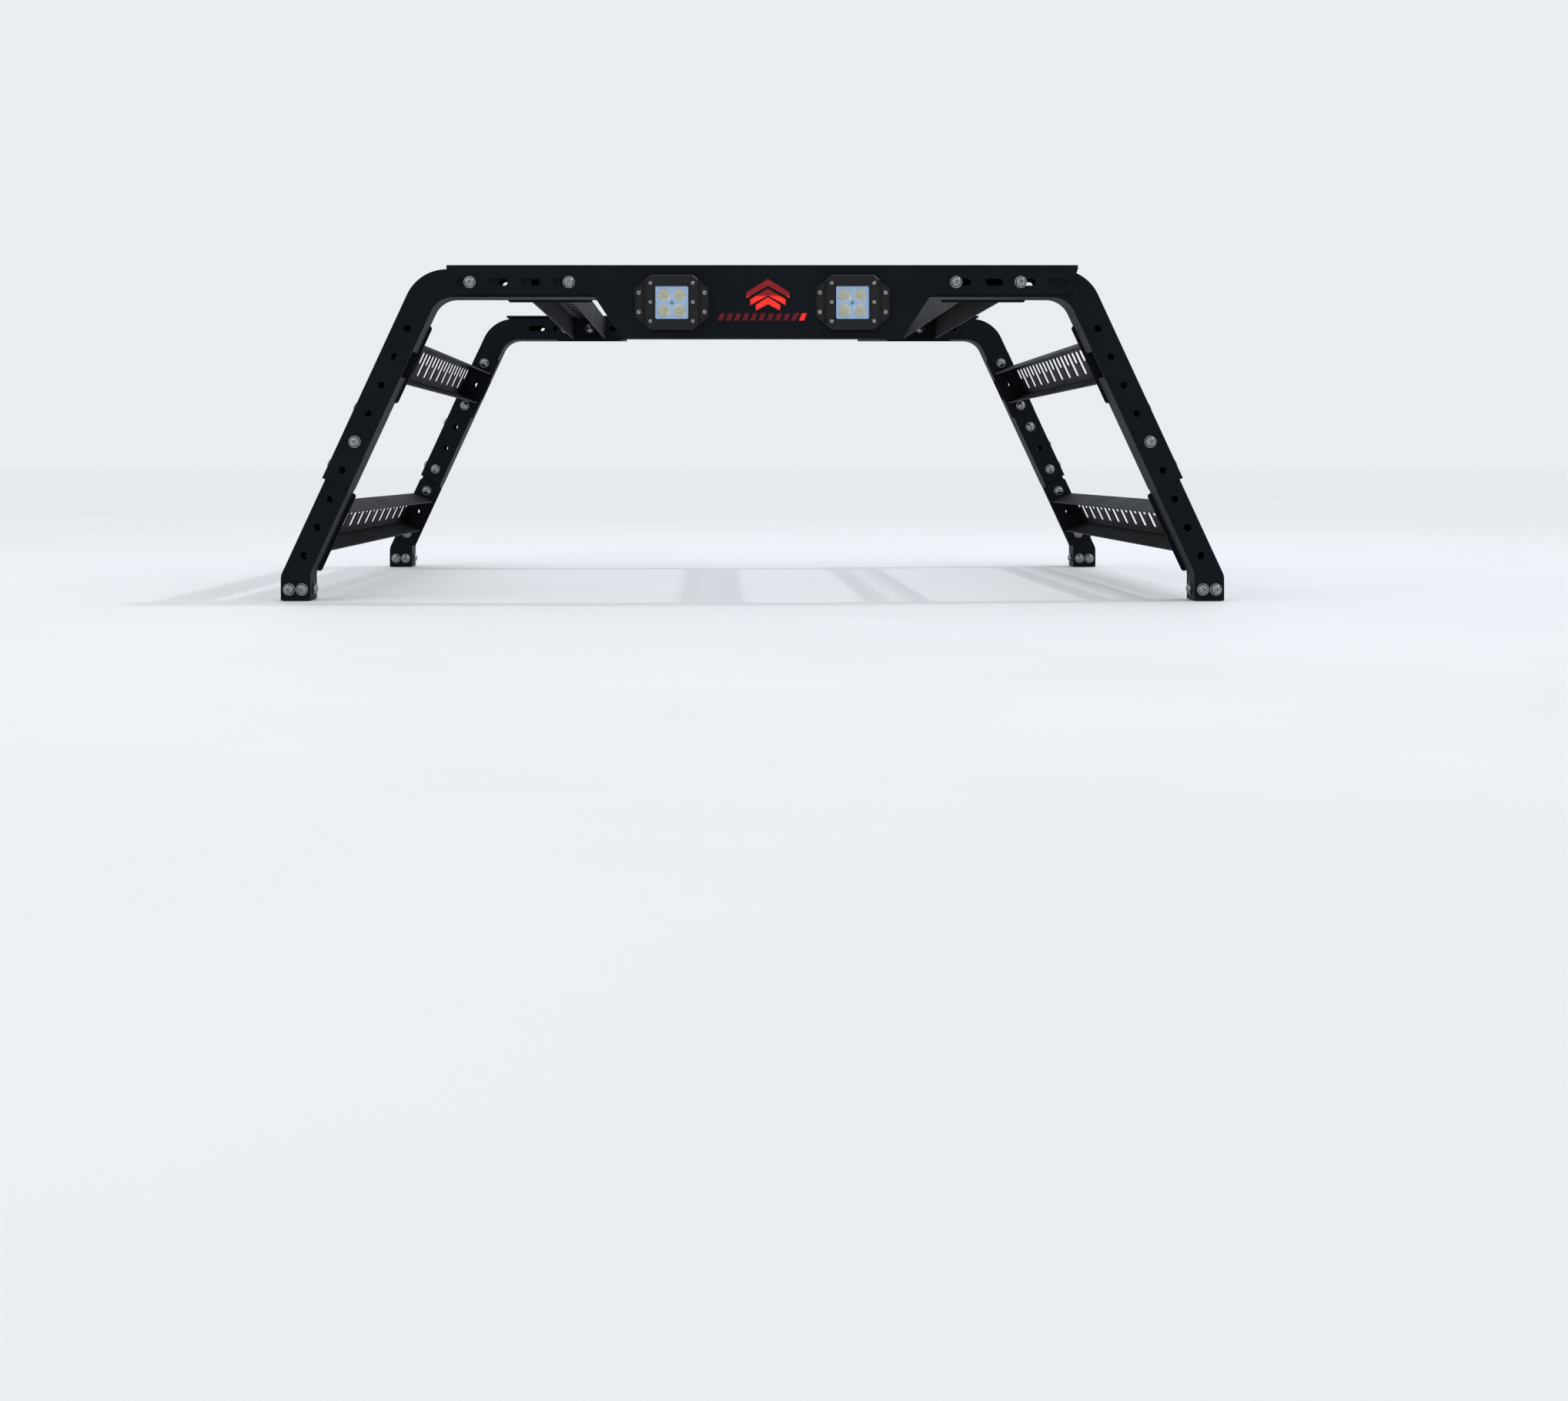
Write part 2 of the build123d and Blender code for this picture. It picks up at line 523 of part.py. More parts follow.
parts["index_bolts"] = group(ib)
parts["index_washers"] = group(iw)

# crossbars and the bolts through their slots
parts["rear_crossbar"] = crossbar(True, XB_REAR_X)
parts["front_crossbar"] = front_of(crossbar(False, 0.0))
cb, cw, cn = [], [], []
for xs, front in ((REAR_LEFT_BOLTS + REAR_RIGHT_BOLTS, False), (FRONT_LEFT_BOLTS + FRONT_RIGHT_BOLTS, True)):
    for x in xs:
        centre = TOP_RAIL_LEFT_X if x < 0 else TOP_RAIL_RIGHT_X
        on_tab = abs(x - centre) < TAB_L / 2
        back = YR + HOOP_D + (TAB_T if on_tab else 0)
        if x == BOXED_BOLT:
            back = YR + HOOP_T
        length = back - Y_WEB + 2 * WASHER_T + NUT_T + 3
        if front:
            # head on the rail's tab, facing rearward, nut on the crossbar
            made = [turned(bolt(length), (x, back + WASHER_T, SLOT_Z), (0, -1, 0)),
                    turned(washer(), (x, back, SLOT_Z), (0, -1, 0)),
                    turned(washer(), (x, Y_WEB, SLOT_Z), (0, 1, 0)),
                    turned(nut(), (x, Y_WEB - WASHER_T, SLOT_Z), (0, -1, 0))]
            made = [front_of(m) for m in made]
        else:
            made = [turned(bolt(length), (x, Y_WEB - WASHER_T, SLOT_Z), (0, 1, 0)),
                    turned(washer(), (x, Y_WEB, SLOT_Z), (0, 1, 0)),
                    turned(washer(), (x, back, SLOT_Z), (0, -1, 0)),
                    turned(nut(), (x, back + WASHER_T, SLOT_Z), (0, 1, 0))]
        cb.append(made[0])
        cw += made[1:3]
        cn.append(made[3])
parts["crossbar_bolts"] = group(cb)
parts["crossbar_washers"] = group(cw)
parts["crossbar_nuts"] = group(cn)

# the two light pods
screws, ears, nuts, leds, glands, seals = [], [], [], [], [], []
for side, s in (("left", -1), ("right", 1)):
    pieces, sc, ea, nu, le, gl = pod(XB_REAR_X + s * POD_X)
    for key in ("gasket", "bezel", "housing", "reflector", "lens"):
        parts["light_%s_%s" % (key, side)] = pieces[key]
    seals.append(pieces["seal"])
    screws += sc
    ears += ea
    nuts += nu
    leds += le
    glands.append(gl)
parts["light_face_screws"] = group(screws)
parts["light_ear_screws"] = group(ears)
parts["light_ear_nuts"] = group(nuts)
parts["light_emitters"] = group(leds)
parts["light_glands"] = group(glands)
parts["light_lens_seals"] = group(seals)

# the coloured insert behind the cut-outs, held by four studs
insert = Pos(0, 513) * RectangleRounded(176, 92, 5)
for sx in (-1, 1):
    for z in STUD_Z:
        insert -= Pos(sx * STUD_X, z) * Circle(2.2)
parts["emblem_insert"] = Pos(XB_REAR_X, 0, 0) * plate(insert, Y_WEB + XB_T, Y_WEB + XB_T + 3)
parts["emblem_nuts"] = group([turned(nut(7, 3.2, 2.02), (XB_REAR_X + sx * STUD_X, Y_WEB + XB_T + 3, z), (0, 1, 0))
                              for sx in (-1, 1) for z in STUD_Z])

# origin: middle of the whole rack's box in X and Y, on the bed rail's top
whole = Compound(children=[Compound(children=[s for s in q.solids()]) for q in parts.values()]).bounding_box()
shift = (whole.min.Y + whole.max.Y) / 2
print("box", whole.min, whole.max, "shift Y by", -shift)
for name, part in parts.items():
    placed = Pos(0, -shift, 0) * part
    solids = placed.solids()
    out = solids[0] if len(solids) == 1 else Compound(children=list(solids))
    export_step(out, "parts/%s.step" % name)
print(len(parts), "nodes")
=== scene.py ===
import json
import math

import bpy
import bmesh
from mathutils import Matrix, Vector


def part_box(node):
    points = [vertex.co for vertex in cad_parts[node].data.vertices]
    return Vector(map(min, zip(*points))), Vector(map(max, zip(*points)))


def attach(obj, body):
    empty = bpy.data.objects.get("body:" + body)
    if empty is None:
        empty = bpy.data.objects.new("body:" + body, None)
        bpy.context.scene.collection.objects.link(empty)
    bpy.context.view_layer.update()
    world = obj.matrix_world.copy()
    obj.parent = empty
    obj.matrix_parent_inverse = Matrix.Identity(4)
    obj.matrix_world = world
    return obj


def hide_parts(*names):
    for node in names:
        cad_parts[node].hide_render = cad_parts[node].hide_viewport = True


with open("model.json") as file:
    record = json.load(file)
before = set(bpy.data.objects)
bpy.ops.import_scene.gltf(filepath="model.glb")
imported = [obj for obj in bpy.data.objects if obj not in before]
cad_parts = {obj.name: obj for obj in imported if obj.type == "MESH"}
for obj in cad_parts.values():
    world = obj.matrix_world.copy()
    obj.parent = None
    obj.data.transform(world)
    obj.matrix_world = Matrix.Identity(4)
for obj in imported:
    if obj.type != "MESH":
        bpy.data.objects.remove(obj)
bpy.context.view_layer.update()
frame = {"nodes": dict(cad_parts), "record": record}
NODES = frame["nodes"]
RECORD = frame["record"]
MM = 0.001
BODY = "upper_frame"

# ---- materials -------------------------------------------------------------


def new_mat(name):
    m = bpy.data.materials.new(name)
    m.use_nodes = True
    nt = m.node_tree
    return m, nt, nt.nodes["Principled BSDF"]


def node(nt, kind, **props):
    n = nt.nodes.new(kind)
    for key, value in props.items():
        setattr(n, key, value)
    return n


def noise(nt, scale, detail=4.0, rough=0.55, stretch=None):
    coords = node(nt, "ShaderNodeTexCoord")
    out = coords.outputs["Object"]
    if stretch:
        mp = node(nt, "ShaderNodeMapping")
        mp.inputs["Scale"].default_value = stretch
        nt.links.new(out, mp.inputs["Vector"])
        out = mp.outputs["Vector"]
    n = node(nt, "ShaderNodeTexNoise")
    n.inputs["Scale"].default_value = scale
    n.inputs["Detail"].default_value = detail
    n.inputs["Roughness"].default_value = rough
    nt.links.new(out, n.inputs["Vector"])
    return n.outputs["Fac"]


def ramp(nt, fac, stops):
    r = node(nt, "ShaderNodeValToRGB")
    els = r.color_ramp.elements
    while len(els) < len(stops):
        els.new(0.5)
    for el, (pos, col) in zip(els, stops):
        el.position = pos
        el.color = (*col, 1) if len(col) == 3 else col
    nt.links.new(fac, r.inputs["Fac"])
    return r.outputs["Color"]


def mapped(nt, fac, lo, hi, from_lo=0.3, from_hi=0.7):
    m = node(nt, "ShaderNodeMapRange")
    m.inputs["From Min"].default_value = from_lo
    m.inputs["From Max"].default_value = from_hi
    m.inputs["To Min"].default_value = lo
    m.inputs["To Max"].default_value = hi
    nt.links.new(fac, m.inputs["Value"])
    return m.outputs["Result"]


def mix_color(nt, fac, a, b):
    m = node(nt, "ShaderNodeMix", data_type="RGBA")
    nt.links.new(fac, m.inputs["Factor"])
    for sock, value in ((m.inputs["A"], a), (m.inputs["B"], b)):
        pass
    a_in = [s for s in m.inputs if s.name == "A" and s.type == "RGBA"][0]
    b_in = [s for s in m.inputs if s.name == "B" and s.type == "RGBA"][0]
    for sock, value in ((a_in, a), (b_in, b)):
        if isinstance(value, tuple):
            sock.default_value = (*value, 1)
        else:
            nt.links.new(value, sock)
    return [s for s in m.outputs if s.type == "RGBA"][0]


def bump(nt, height, strength, distance, base=None):
    b = node(nt, "ShaderNodeBump")
    b.inputs["Strength"].default_value = strength
    b.inputs["Distance"].default_value = distance
    nt.links.new(height, b.inputs["Height"])
    if base is not None:
        nt.links.new(base, b.inputs["Normal"])
    return b.outputs["Normal"]


def edge(nt, radius):
    """A softened normal, and how far it turns from the true one (0 to 1)."""
    bev = node(nt, "ShaderNodeBevel", samples=6)
    bev.inputs["Radius"].default_value = radius
    geo = node(nt, "ShaderNodeNewGeometry")
    dot = node(nt, "ShaderNodeVectorMath", operation="DOT_PRODUCT")
    nt.links.new(bev.outputs["Normal"], dot.inputs[0])
    nt.links.new(geo.outputs["Normal"], dot.inputs[1])
    fac = node(nt, "ShaderNodeMapRange")
    fac.inputs["From Min"].default_value = 0.995
    fac.inputs["From Max"].default_value = 0.80
    nt.links.new(dot.outputs["Value"], fac.inputs["Value"])
    return bev.outputs["Normal"], fac.outputs["Result"]


def recess(nt, distance):
    """0 deep in a recess, 1 on open surface."""
    ao = node(nt, "ShaderNodeAmbientOcclusion", samples=6)
    ao.inputs["Distance"].default_value = distance
    m = node(nt, "ShaderNodeMapRange")
    m.inputs["From Min"].default_value = 0.30
    m.inputs["From Max"].default_value = 0.80
    nt.links.new(ao.outputs["AO"], m.inputs["Value"])
    return m.outputs["Result"]


def multiply(nt, a, b):
    m = node(nt, "ShaderNodeMath", operation="MULTIPLY")
    nt.links.new(a, m.inputs[0])
    nt.links.new(b, m.inputs[1])
    return m.outputs["Value"]


def powder_coat():
    """Satin black powder coat: fine grain; edges lighter, partly as rubbed wear and partly as a painted highlight."""
    m, nt, p = new_mat("rack_powder_coat")
    normal, edge_wear_and_highlight = edge(nt, 0.0007)
    grain = noise(nt, 850.0, 3.0, 0.6)
    cloud = noise(nt, 7.0, 5.0, 0.6)
    wear_and_highlight_patches = noise(nt, 60.0, 6.0, 0.7)
    base = ramp(nt, cloud, [(0.3, (0.0052, 0.0060, 0.0078)), (0.7, (0.0070, 0.0080, 0.0102))])
    # Edge lightening: where the bevelled normal turns, patches go lighter grey, partly as rubbed wear and partly as a
    # painted highlight.
    mask = multiply(nt, edge_wear_and_highlight, mapped(nt, wear_and_highlight_patches, 0.0, 0.45, 0.46, 0.70))
    base = mix_color(nt, mask, base, (0.030, 0.032, 0.036))
    nt.links.new(base, p.inputs["Base Color"])
    nt.links.new(mapped(nt, cloud, 0.54, 0.64), p.inputs["Roughness"])
    p.inputs["Specular IOR Level"].default_value = 0.08
    # Painted sheen: the blue specular tint colours the coat's reflections sky blue.
    p.inputs["Specular Tint"].default_value = (0.60, 0.79, 1.0, 1)
    n1 = bump(nt, grain, 0.22, 0.00025, normal)
    n2 = bump(nt, noise(nt, 190.0, 2.0, 0.5), 0.10, 0.0004, n1)
    nt.links.new(n2, p.inputs["Normal"])
    return m


def stainless():
    """Turned and tumbled stainless fasteners, with painted shade in their recesses."""
    m, nt, p = new_mat("fastener_stainless")
    p.inputs["Metallic"].default_value = 1.0
    tone = noise(nt, 130.0, 4.0, 0.6)
    metal = ramp(nt, tone, [(0.3, (0.21, 0.21, 0.215)), (0.7, (0.38, 0.38, 0.382))])
    # Painted shade: ambient occlusion darkens sockets, recesses and joints towards near black.
    black = node(nt, "ShaderNodeRGB")
    black.outputs[0].default_value = (0.022, 0.022, 0.024, 1)
    nt.links.new(mix_color(nt, recess(nt, 0.0030), black.outputs[0], metal), p.inputs["Base Color"])
    nt.links.new(mapped(nt, noise(nt, 320.0, 5.0, 0.65), 0.16, 0.30), p.inputs["Roughness"])
    normal, _ = edge(nt, 0.0004)
    fine = noise(nt, 900.0, 3.0, 0.6, (1.0, 0.15, 1.0))
    nt.links.new(bump(nt, fine, 0.12, 0.0001, normal), p.inputs["Normal"])
    return m


def pod_black():
    """Black cast aluminium with a light orange-peel texture."""
    m, nt, p = new_mat("light_cast_black")
    normal, edge_wear_and_highlight = edge(nt, 0.0007)
    cloud = noise(nt, 45.0, 4.0, 0.6)
    base = ramp(nt, cloud, [(0.3, (0.0034, 0.0037, 0.0046)), (0.7, (0.0060, 0.0065, 0.0078))])
    # Edge lightening: where the bevelled normal turns, patches go lighter, partly as rubbed wear and partly as a
    # painted highlight.
    base = mix_color(nt, multiply(nt, edge_wear_and_highlight, mapped(nt, noise(nt, 220.0), 0.0, 0.5, 0.4, 0.65)), base, (0.035, 0.037, 0.04))
    nt.links.new(base, p.inputs["Base Color"])
    nt.links.new(mapped(nt, cloud, 0.32, 0.44), p.inputs["Roughness"])
    p.inputs["Specular IOR Level"].default_value = 0.26
    nt.links.new(bump(nt, noise(nt, 1400.0, 3.0, 0.6), 0.25, 0.0002, normal), p.inputs["Normal"])
    return m


def rubber():
    m, nt, p = new_mat("seal_rubber_black")
    cloud = noise(nt, 90.0, 4.0, 0.6)
    nt.links.new(ramp(nt, cloud, [(0.3, (0.010, 0.010, 0.010)), (0.7, (0.022, 0.022, 0.021))]), p.inputs["Base Color"])
    nt.links.new(mapped(nt, cloud, 0.62, 0.80), p.inputs["Roughness"])
    nt.links.new(bump(nt, noise(nt, 700.0), 0.2, 0.0002), p.inputs["Normal"])
    return m


def chrome():
    """Vapour-metallised reflector, slightly hazy, with a painted sky-blue reflection in its colour."""
    m, nt, p = new_mat("reflector_metallised")
    p.inputs["Metallic"].default_value = 1.0
    haze = noise(nt, 160.0, 4.0, 0.6)
    # Painted reflection: the blue metal colour stands in for the sky reflected in a neutral reflector.
    nt.links.new(ramp(nt, haze, [(0.3, (0.30, 0.47, 0.72)), (0.7, (0.40, 0.58, 0.82))]), p.inputs["Base Color"])
    nt.links.new(mapped(nt, haze, 0.07, 0.16), p.inputs["Roughness"])
    nt.links.new(bump(nt, noise(nt, 260.0, 2.0, 0.5), 0.10, 0.0004), p.inputs["Normal"])
    return m


def cup_metal():
    """The cups' brighter, paler metal."""
    m, nt, p = new_mat("reflector_cup_metal")
    p.inputs["Metallic"].default_value = 1.0
    haze = noise(nt, 420.0, 4.0, 0.6)
    nt.links.new(ramp(nt, haze, [(0.3, (0.90, 0.93, 0.96)), (0.7, (0.97, 0.98, 1.0))]), p.inputs["Base Color"])
    nt.links.new(mapped(nt, haze, 0.22, 0.34), p.inputs["Roughness"])
    nt.links.new(bump(nt, noise(nt, 520.0, 2.0, 0.5), 0.30, 0.0004), p.inputs["Normal"])
    return m


def clear_lens():
    """Clear hard-coated cover, faintly dusty."""
    m, nt, p = new_mat("lens_clear_cover")
    dust = noise(nt, 240.0, 5.0, 0.7)
    nt.links.new(ramp(nt, dust, [(0.3, (0.50, 0.55, 0.60)), (0.7, (0.62, 0.66, 0.70))]), p.inputs["Base Color"])
    nt.links.new(mapped(nt, dust, 0.02, 0.07), p.inputs["Roughness"])
    p.inputs["Specular IOR Level"].default_value = 0.5
    p.inputs["Alpha"].default_value = 0.045
    return m


def led_phosphor():
    """Yellow phosphor under a glossy silicone dome."""
    m, nt, p = new_mat("led_phosphor")
    tone = noise(nt, 500.0, 3.0, 0.6)
    nt.links.new(ramp(nt, tone, [(0.3, (0.84, 0.72, 0.12)), (0.7, (0.97, 0.89, 0.34))]), p.inputs["Base Color"])
    nt.links.new(mapped(nt, tone, 0.10, 0.22), p.inputs["Roughness"])
    p.inputs["Coat Weight"].default_value = 0.8
    p.inputs["Coat Roughness"].default_value = 0.04
    p.inputs["Emission Color"].default_value = (1.0, 0.86, 0.25, 1)
    p.inputs["Emission Strength"].default_value = 0.03
    return m


def ceramic():
    """White ceramic base under an LED die."""
    m, nt, p = new_mat("led_ceramic")
    tone = noise(nt, 600.0, 3.0, 0.6)
    nt.links.new(ramp(nt, tone, [(0.3, (0.70, 0.71, 0.68)), (0.7, (0.82, 0.82, 0.79))]), p.inputs["Base Color"])
    nt.links.new(mapped(nt, tone, 0.25, 0.40), p.inputs["Roughness"])
    return m


def silicone():
    """Clear silicone dome over the die."""
    m, nt, p = new_mat("led_dome_clear")
    tone = noise(nt, 600.0, 3.0, 0.6)
    nt.links.new(ramp(nt, tone, [(0.3, (0.90, 0.86, 0.60)), (0.7, (0.95, 0.92, 0.70))]), p.inputs["Base Color"])
    nt.links.new(mapped(nt, tone, 0.03, 0.08), p.inputs["Roughness"])
    p.inputs["Alpha"].default_value = 0.22
    return m


def red_insert():
    """Translucent red acrylic with painted light and shade: painted shadow keeps it dark red at the top, painted
    sunlight makes it brighter low down, and it has a painted glow.
    """
    m, nt, p = new_mat("insert_red_acrylic")
    coords = node(nt, "ShaderNodeTexCoord")
    sep = node(nt, "ShaderNodeSeparateXYZ")
    nt.links.new(coords.outputs["Object"], sep.inputs["Vector"])
    # Painted sunlight: a band low on the insert, and the part beyond x = 0.078 m, go bright red on faces towards -Y;
    # the rest is painted shadow.
    h = node(nt, "ShaderNodeMapRange")
    h.inputs["From Min"].default_value = 0.450
    h.inputs["From Max"].default_value = 0.570
    nt.links.new(sep.outputs["Z"], h.inputs["Value"])
    shaded_red, sunlit_red = (0.085, 0.006, 0.011), (0.85, 0.030, 0.020)
    sunlit_band = ramp(nt, h.outputs["Result"], [(0.0, (0, 0, 0)), (0.405, (0, 0, 0)), (0.415, (1, 1, 1)), (0.600, (1, 1, 1)), (0.625, (0.12, 0.12, 0.12)), (1.0, (0.12, 0.12, 0.12))])
    e = node(nt, "ShaderNodeMapRange")
    e.inputs["From Min"].default_value = 0.0770
    e.inputs["From Max"].default_value = 0.0785
    nt.links.new(sep.outputs["X"], e.inputs["Value"])
    either = node(nt, "ShaderNodeMath", operation="MAXIMUM")
    nt.links.new(sunlit_band, either.inputs[0])
    nt.links.new(e.outputs["Result"], either.inputs[1])
    nsep = node(nt, "ShaderNodeSeparateXYZ")
    nt.links.new(coords.outputs["Normal"], nsep.inputs["Vector"])
    facing = node(nt, "ShaderNodeMath", operation="LESS_THAN")
    facing.inputs[1].default_value = -0.5
    nt.links.new(nsep.outputs["Y"], facing.inputs[0])
    lit = multiply(nt, either.outputs["Value"], facing.outputs["Value"])
    low = mix_color(nt, lit, shaded_red, sunlit_red)
    speck = mix_color(nt, mapped(nt, noise(nt, 70.0, 4.0, 0.6), 0.0, 0.25), low, (0.10, 0.002, 0.002))
    nt.links.new(speck, p.inputs["Base Color"])
    nt.links.new(mapped(nt, noise(nt, 300.0), 0.24, 0.36), p.inputs["Roughness"])
    p.inputs["Specular IOR Level"].default_value = 0.15
    # Painted glow: the lit and shaded colour is also emitted, though the insert is no lamp.
    nt.links.new(speck, p.inputs["Emission Color"])
    p.inputs["Emission Strength"].default_value = 0.75
    return m


def gland_plastic():
    m, nt, p = new_mat("gland_nylon_black")
    tone = noise(nt, 120.0, 4.0, 0.6)
    nt.links.new(ramp(nt, tone, [(0.3, (0.014, 0.014, 0.015)), (0.7, (0.026, 0.026, 0.027))]), p.inputs["Base Color"])
    nt.links.new(mapped(nt, tone, 0.45, 0.60), p.inputs["Roughness"])
    nt.links.new(bump(nt, noise(nt, 900.0), 0.15, 0.0002), p.inputs["Normal"])
    return m


MATS = {
    "powder_coat": powder_coat(), "stainless": stainless(), "pod_black": pod_black(),
    "seal_rubber": rubber(), "reflector_chrome": chrome(), "lens_clear": clear_lens(),
    "reflector_cup": cup_metal(), "led_ceramic": ceramic(), "led_dome": silicone(), "led_yellow": led_phosphor(), "insert_red": red_insert(), "gland_plastic": gland_plastic(),
}
for sub in RECORD["subparts"]:
    obj = NODES[sub["node"]]
    obj.data.materials.clear()
    obj.data.materials.append(MATS[sub["material_slot"]])

# ---- shared shape helpers ----------------------------------------------------


def make(name, verts, faces, mat_slot, body, smooth=True):
    mesh = bpy.data.meshes.new(name)
    mesh.from_pydata([tuple(v) for v in verts], [], faces)
    bm = bmesh.new()
    bm.from_mesh(mesh)
    bmesh.ops.recalc_face_normals(bm, faces=bm.faces)
    bm.to_mesh(mesh)
    bm.free()
    mesh.materials.append(MATS[mat_slot])
    obj = bpy.data.objects.new(name, mesh)
    bpy.context.scene.collection.objects.link(obj)
    if smooth:
        mesh.polygons.foreach_set("use_smooth", [True] * len(mesh.polygons))
        mesh.set_sharp_from_angle(angle=math.radians(38))
    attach(obj, body)
    return obj


def join_lists(verts, faces, more_verts, more_faces):
    off = len(verts)
    verts.extend(more_verts)
    faces.extend([tuple(i + off for i in f) for f in more_faces])


def bead(points, radius, seed):
    """A weld bead along points: stacked ripples with rounded ends."""
    pts = [Vector(p) for p in points]
    lengths = [0.0]
    for a, b in zip(pts, pts[1:]):
        lengths.append(lengths[-1] + (b - a).length)
    total = lengths[-1]
    n = max(8, int(total / (0.9 * MM)))
    verts, faces, seg = [], [], 8
    for i in range(n + 1):
        s = total * i / n
        k = max(j for j in range(len(pts) - 1) if lengths[j] <= s + 1e-12)
        t = (s - lengths[k]) / max(1e-9, lengths[k + 1] - lengths[k])
        c = pts[k].lerp(pts[k + 1], t)
        d = (pts[k + 1] - pts[k]).normalized()
        u = d.cross(Vector((0.31, 0.87, 0.38))).normalized()
        v = d.cross(u).normalized()
        phase = s / (2.6 * MM) * 2 * math.pi
        r = radius * (1.0 + 0.13 * abs(math.sin(phase / 2 + seed)) + 0.05 * math.sin(phase * 0.23 + seed * 3.1))
        end = min(s, total - s)
        if end < radius:
            r *= max(0.12, math.sqrt(max(0.0, 1 - (1 - end / radius) ** 2)))
        for j in range(seg):
            a = 2 * math.pi * j / seg
            verts.append(c + (u * math.cos(a) + v * math.sin(a)) * r)
    for i in range(n):
        for j in range(seg):
            a, b = i * seg + j, i * seg + (j + 1) % seg
            faces.append((a, b, b + seg, a + seg))
    faces.append(tuple(range(seg - 1, -1, -1)))
    faces.append(tuple(n * seg + j for j in range(seg)))
    return verts, faces


# ---- weld beads where each rail's channel meets its end tabs -----------------
LEAN = math.radians(24.8)
S, C = math.sin(LEAN), math.cos(LEAN)
Y0 = (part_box("rear_hoop_left")[0].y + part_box("front_hoop_left")[1].y) / 2


def leg_point(k, inset):
    z = 78.0 + 48.6 * k
    x = 738.3 + S / C * (211.2 - z) - 27.4 / C
    move = 27.4 - inset
    return x + C * move, z + S * move


def rail_beads(name, origin, x_axis, z_axis, half_len, body):
    verts, faces = [], []
    for i, sy in enumerate((-1, 1)):
        y = sy * (half_len - 3.0 - 0.6)
        runs = [
            [(-5.0, y, 38.1), (-46.5, y, 38.1)],
            [(-5.0, y, -38.1), (-46.5, y, -38.1)],
            [(-3.1, y, -33.0), (-3.1, y, 33.0)],
        ]
        for j, run in enumerate(runs):
            pts = []
            for x, yy, z in run:
                p = Vector(origin) + Vector(x_axis) * x + Vector(z_axis) * z
                pts.append(Vector((p.x * MM, yy * MM + Y0, p.z * MM)))
            v, f = bead(pts, 1.9 * MM, 0.7 * i + 1.3 * j)
            join_lists(verts, faces, v, f)
    return make(name, verts, faces, "powder_coat", body)


for side, sx in (("left", -1), ("right", 1)):
    x_axis, z_axis = (sx * C, 0, S), (-sx * S, 0, C)
    x, z = leg_point(7, 0.0)
    rail_beads("weld_upper_rail_" + side, (sx * x, 0, z), x_axis, z_axis, 644.5, BODY)
    x, z = leg_point(1, 2.6)
    rail_beads("weld_lower_rail_" + side, (sx * x, 0, z), x_axis, z_axis, 649.0, side + "_foot")
for side, x in (("left", -352.0), ("right", 404.0)):
    rail_beads("weld_top_rail_" + side, (x, 0, 571.8), (0, 0, 1), (-1, 0, 0), 644.5, BODY)

# ---- reflectors with four smooth cups, replacing the plain CAD blocks ----------


